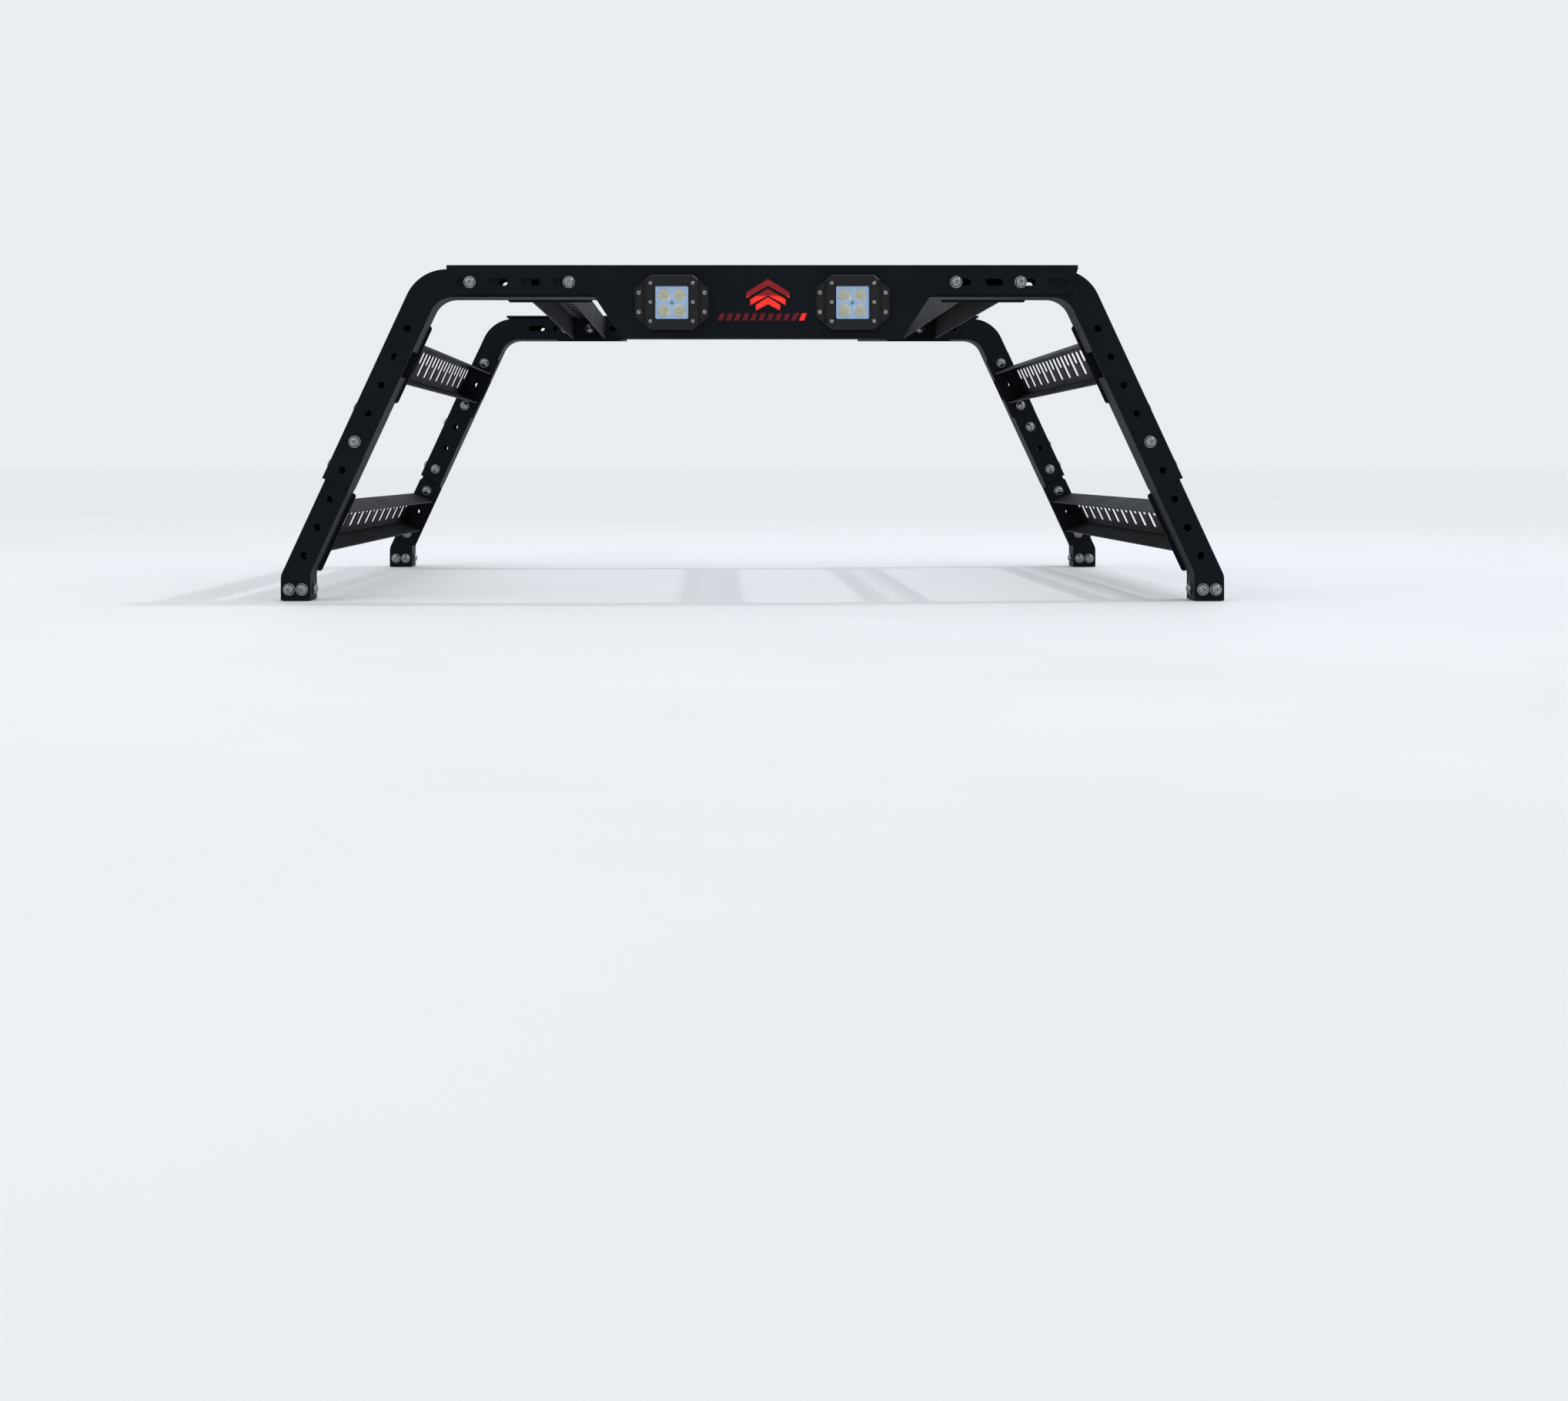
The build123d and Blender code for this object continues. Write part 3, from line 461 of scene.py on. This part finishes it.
def reflector(side):
    lo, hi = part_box("light_reflector_" + side)
    cx, cz = (lo.x + hi.x) / 2, (lo.z + hi.z) / 2
    y_face, y_back = lo.y, hi.y - 0.0005
    half = (hi.x - lo.x) / 2 - 0.0003
    verts, faces = [], []
    seg = 64
    q = half / 2
    for sx in (-1, 1):
        for sz in (-1, 1):
            ox, oz = sx * 13.4 * MM, sz * 13.4 * MM
            rings = []
            profile = []
            for i in range(15):
                t = i / 14
                r = 3.4 + (10.15 - 3.4) * t
                d = 14.6 * (1 - ((r - 0.4) / 9.75) ** 2) if i else 14.6
                profile.append((r, max(d, 0.0)))
            profile += [(10.35, -0.45), (10.7, -0.62), (11.1, -0.45), (11.35, 0.0)]
            for r, d in profile:
                ring = []
                for j in range(seg):
                    a = 2 * math.pi * j / seg
                    ring.append(Vector((cx + ox + r * MM * math.cos(a), y_face + d * MM, cz + oz + r * MM * math.sin(a))))
                rings.append(ring)
            edge_ring = []
            x0, x1 = (-half, 0.0) if sx < 0 else (0.0, half)
            z0, z1 = (-half, 0.0) if sz < 0 else (0.0, half)
            for j in range(seg):
                a = 2 * math.pi * j / seg
                dx, dz = math.cos(a), math.sin(a)
                ts = []
                if dx > 1e-9: ts.append((x1 - ox) / dx)
                if dx < -1e-9: ts.append((x0 - ox) / dx)
                if dz > 1e-9: ts.append((z1 - oz) / dz)
                if dz < -1e-9: ts.append((z0 - oz) / dz)
                t = min(ts)
                edge_ring.append(Vector((cx + ox + dx * t, y_face, cz + oz + dz * t)))
            rings.append(edge_ring)
            off = len(verts)
            for ring in rings:
                verts.extend(ring)
            for i in range(len(rings) - 1):
                for j in range(seg):
                    a, b = off + i * seg + j, off + i * seg + (j + 1) % seg
                    faces.append((a, b, b + seg, a + seg))
            faces.append(tuple(off + j for j in range(seg)))
    # skirt and back, so that the piece is a closed block
    off = len(verts)
    corners = [(-half, -half), (half, -half), (half, half), (-half, half)]
    for y in (y_face, y_back):
        for x, z in corners:
            verts.append(Vector((cx + x, y, cz + z)))
    for j in range(4):
        a, b = off + j, off + (j + 1) % 4
        faces.append((a, b, b + 4, a + 4))
    faces.append((off + 4, off + 5, off + 6, off + 7))
    obj = make("reflector_cups_" + side, verts, faces, "reflector_chrome", BODY)
    obj.data.materials.append(MATS["reflector_cup"])
    for poly in obj.data.polygons:
        c = poly.center
        r = min(math.hypot(c.x - cx - a * 13.4 * MM, c.z - cz - b * 13.4 * MM) for a in (-1, 1) for b in (-1, 1))
        if r < 11.35 * MM and c.y < y_back - 0.0005:
            poly.material_index = 1
    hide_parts("light_reflector_" + side)
    # centre screw with a hex recess
    v, f = [], []
    n, rows = 24, [(3.1, 0.0), (3.1, -0.7), (2.7, -1.3), (2.0, -1.65), (1.35, -1.7), (1.25, -0.7), (0.02, -0.6)]
    for r, d in rows:
        for j in range(n):
            a = 2 * math.pi * j / n
            rr = r
            if r in (1.35, 1.25):
                rr = r / math.cos(((a + math.pi / 6) % (math.pi / 3)) - math.pi / 6) * 0.92
            v.append(Vector((cx + rr * MM * math.cos(a), y_face + d * MM, cz + rr * MM * math.sin(a))))
    for i in range(len(rows) - 1):
        for j in range(n):
            a, b = i * n + j, i * n + (j + 1) % n
            f.append((a, b, b + n, a + n))
    f.append(tuple(range(n)))
    f.append(tuple((len(rows) - 1) * n + j for j in range(n)))
    make("reflector_screw_" + side, v, f, "stainless", BODY)
    return obj


for side in ("left", "right"):
    reflector(side)

# ---- LEDs: a ceramic disc, a square die and a clear dome in each cup ------------


def rings_mesh(verts, faces, mats, centre, rows, n, mat):
    """Rings of n points about -Y through centre; each row is (radius, depth)."""
    off = len(verts)
    for rad, d in rows:
        for j in range(n):
            a = 2 * math.pi * (j + 0.5) / n
            verts.append(Vector((centre[0] + rad * MM * math.cos(a), centre[1] + d * MM, centre[2] + rad * MM * math.sin(a))))
    for i in range(len(rows) - 1):
        for j in range(n):
            a, b = off + i * n + j, off + i * n + (j + 1) % n
            faces.append((a, b, b + n, a + n))
            mats.append(mat)
    faces.append(tuple(off + j for j in range(n)))
    faces.append(tuple(off + (len(rows) - 1) * n + j for j in range(n)))
    mats.extend([mat, mat])


def leds():
    verts, faces, mats = [], [], []
    for side in ("left", "right"):
        lo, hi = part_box("light_reflector_" + side)
        cx, cz = (lo.x + hi.x) / 2, (lo.z + hi.z) / 2
        for dx in (-13.4, 13.4):
            for dz in (-13.4, 13.4):
                c = (cx + dx * MM, lo.y + 14.5 * MM, cz + dz * MM)
                rings_mesh(verts, faces, mats, c, [(3.35, 0.0), (3.35, -0.55), (3.1, -0.8)], 32, 1)
                rings_mesh(verts, faces, mats, c, [(2.0, -0.82), (2.0, -1.15), (1.85, -1.25)], 4, 0)
                dome = [(2.75 * math.cos(t), -0.82 - 2.5 * math.sin(t)) for t in [i * math.pi / 2 / 9 for i in range(9)]]
                rings_mesh(verts, faces, mats, c, dome + [(0.06, -3.33)], 32, 2)
    obj = make("led_dies", verts, faces, "led_yellow", BODY)
    obj.data.materials.append(MATS["led_ceramic"])
    obj.data.materials.append(MATS["led_dome"])
    for poly, m in zip(obj.data.polygons, mats):
        poly.material_index = m
    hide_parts("light_emitters")


leds()

# ---- raised ridges round each bezel's ears, and its window's inner lip ------------


def ridge(verts, faces, path, width, y0, y1):
    """A trapezium-section ridge along a path of (x, z), from y0 out to y1."""
    pts = [Vector((p[0], p[1])) for p in path]
    off = len(verts)
    for i, p in enumerate(pts):
        a = (pts[min(i + 1, len(pts) - 1)] - pts[max(i - 1, 0)]).normalized()
        nrm = Vector((-a.y, a.x))
        for w, y in ((width / 2, y0), (width * 0.30, y1), (-width * 0.30, y1), (-width / 2, y0)):
            q = p + nrm * w
            verts.append(Vector((q.x, y, q.y)))
    for i in range(len(pts) - 1):
        for j in range(4):
            a, b = off + i * 4 + j, off + i * 4 + (j + 1) % 4
            faces.append((a, b, b + 4, a + 4))
    faces.append((off, off + 1, off + 2, off + 3))
    last = off + (len(pts) - 1) * 4
    faces.append((last + 3, last + 2, last + 1, last))


def smooth_path(points, cuts=6, r=3.0):
    """Corner points with small arcs at the corners."""
    out = [Vector(points[0])]
    for a, b, c in zip(points, points[1:], points[2:]):
        a, b, c = Vector(a), Vector(b), Vector(c)
        p, q = b + (a - b).normalized() * r, b + (c - b).normalized() * r
        for i in range(cuts + 1):
            t = i / cuts
            out.append(p * (1 - t) ** 2 + b * 2 * t * (1 - t) + q * t ** 2)
    out.append(Vector(points[-1]))
    return out


def bezel_trim(side):
    lo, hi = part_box("light_bezel_" + side)
    cx, cz = (lo.x + hi.x) / 2, (lo.z + hi.z) / 2
    ear_y = hi.y - 4.0 * MM
    verts, faces = [], []
    for s in (-1, 1):
        outer = smooth_path([(46.6, -36.0), (61.6, -23.5), (61.6, 23.5), (46.6, 36.0)])
        inner = [(47.4 + 2.2 * math.cos(t * math.pi / 2), 33.2 * t) for t in [i / 12 - 1 for i in range(25)]]
        for path, w in ((outer, 2.3), (inner, 1.9)):
            pts = [(cx + s * q[0] * MM, cz + q[1] * MM) for q in path]
            ridge(verts, faces, pts, w * MM, ear_y + 0.0001, ear_y - 0.0016)
    # inner lip round the window
    h = 29.3
    lip = smooth_path([(0, -h), (h, -h), (h, h), (-h, h), (-h, -h), (0, -h)], 6, 4.0)
    ridge(verts, faces, [(cx + q.x * MM, cz + q.y * MM) for q in lip], 1.6 * MM, hi.y - 4.05 * MM, lo.y + 0.9 * MM)
    make("bezel_trim_" + side, verts, faces, "pod_black", BODY)


for side in ("left", "right"):
    bezel_trim(side)

# ---- floor, lights, camera ----------------------------------------------------
fm, fnt, fp = new_mat("studio_floor")
fnt.links.new(ramp(fnt, noise(fnt, 1.5, 3.0, 0.5), [(0.3, (0.80, 0.80, 0.80)), (0.7, (0.83, 0.83, 0.83))]), fp.inputs["Base Color"])
fp.inputs["Roughness"].default_value = 0.7
bm = bmesh.new()
bmesh.ops.create_grid(bm, x_segments=8, y_segments=8, size=150.0)
mesh = bpy.data.meshes.new("floor")
bm.to_mesh(mesh)
bm.free()
mesh.materials.append(fm)
floor = bpy.data.objects.new("floor", mesh)
floor.location = (0, 0, -0.0002)
bpy.context.scene.collection.objects.link(floor)

world = bpy.data.worlds.new("studio")
bpy.context.scene.world = world
world.use_nodes = True
bg = world.node_tree.nodes["Background"]
bg.inputs["Color"].default_value = (0.93, 0.96, 1.0, 1)
bg.inputs["Strength"].default_value = 0.88


def area(name, loc, target, size, power, color):
    data = bpy.data.lights.new(name, "AREA")
    data.shape = "RECTANGLE"
    data.size, data.size_y = size
    data.energy = power
    data.color = color
    o = bpy.data.objects.new(name, data)
    o.location = loc
    o.rotation_mode = "QUATERNION"
    o.rotation_quaternion = (Vector(target) - Vector(loc)).to_track_quat("-Z", "Y")
    bpy.context.scene.collection.objects.link(o)
    return o


area("sky_top", (0.3, 0.4, 3.4), (0, 0, 0.3), (4.0, 3.0), 20, (0.62, 0.80, 1.0))
area("key_left", (-2.8, -3.2, 2.6), (0, -0.3, 0.35), (1.2, 0.9), 11, (1.0, 0.97, 0.93))
area("rim_front", (1.6, 3.4, 2.2), (0, 0.2, 0.4), (2.4, 1.0), 5, (0.66, 0.82, 1.0))
sun_data = bpy.data.lights.new("sun_right", "SUN")
sun_data.energy = 0.65
sun_data.angle = math.radians(1.5)
sun_data.color = (0.95, 0.97, 1.0)
sun = bpy.data.objects.new("sun_right", sun_data)
sun.rotation_mode = "QUATERNION"
sun.rotation_quaternion = Vector((-1.0, -0.25, -1.15)).to_track_quat("-Z", "Y")
bpy.context.scene.collection.objects.link(sun)

cam_data = bpy.data.cameras.new("camera")
cam_data.sensor_fit = "HORIZONTAL"
cam_data.sensor_width = 36.0
cam_data.lens = 54.15
cam_data.shift_x = 0.0449
cam_data.shift_y = -0.1497
cam_data.clip_start, cam_data.clip_end = 0.05, 200.0
cam_data.dof.use_dof = False
cam = bpy.data.objects.new("camera", cam_data)
cam.location = (-0.0667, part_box("rear_hoop_left")[0].y - 4.045, 0.2323)
cam.rotation_euler = (math.radians(90), 0, 0)
bpy.context.scene.collection.objects.link(cam)
bpy.context.scene.camera = cam

bpy.context.scene.view_settings.view_transform = "Standard"
